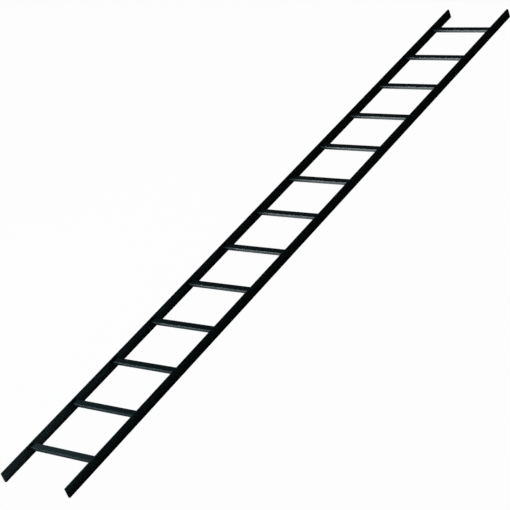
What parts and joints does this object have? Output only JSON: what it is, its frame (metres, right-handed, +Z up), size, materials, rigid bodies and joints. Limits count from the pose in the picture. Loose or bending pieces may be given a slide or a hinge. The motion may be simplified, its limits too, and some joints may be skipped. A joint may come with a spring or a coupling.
{
  "type": "cable ladder section",
  "caption": "Straight tubular steel cable ladder section: rectangular tube stringers joined by evenly spaced welded tube rungs, black powder coated.",
  "frame": {"origin": "middle of the section, on the level floor it lies on, midway between the stringers", "axes": "+X along the ladder from rung 1 to rung 13, +Y to the left stringer, +Z up, out of the side on which the cables lie"},
  "size_m": [3.048, 0.3048, 0.0381],
  "materials": {
    "black_powder_coat": "semi-gloss black powder coat, slightly blue-green"
  },
  "bodies": {
    "root": {"stringer_left": "black_powder_coat", "stringer_right": "black_powder_coat", "rung_01": "black_powder_coat", "rung_02": "black_powder_coat", "rung_03": "black_powder_coat", "rung_04": "black_powder_coat", "rung_05": "black_powder_coat", "rung_06": "black_powder_coat", "rung_07": "black_powder_coat", "rung_08": "black_powder_coat", "rung_09": "black_powder_coat", "rung_10": "black_powder_coat", "rung_11": "black_powder_coat", "rung_12": "black_powder_coat", "rung_13": "black_powder_coat"}
  },
  "joints": []
}
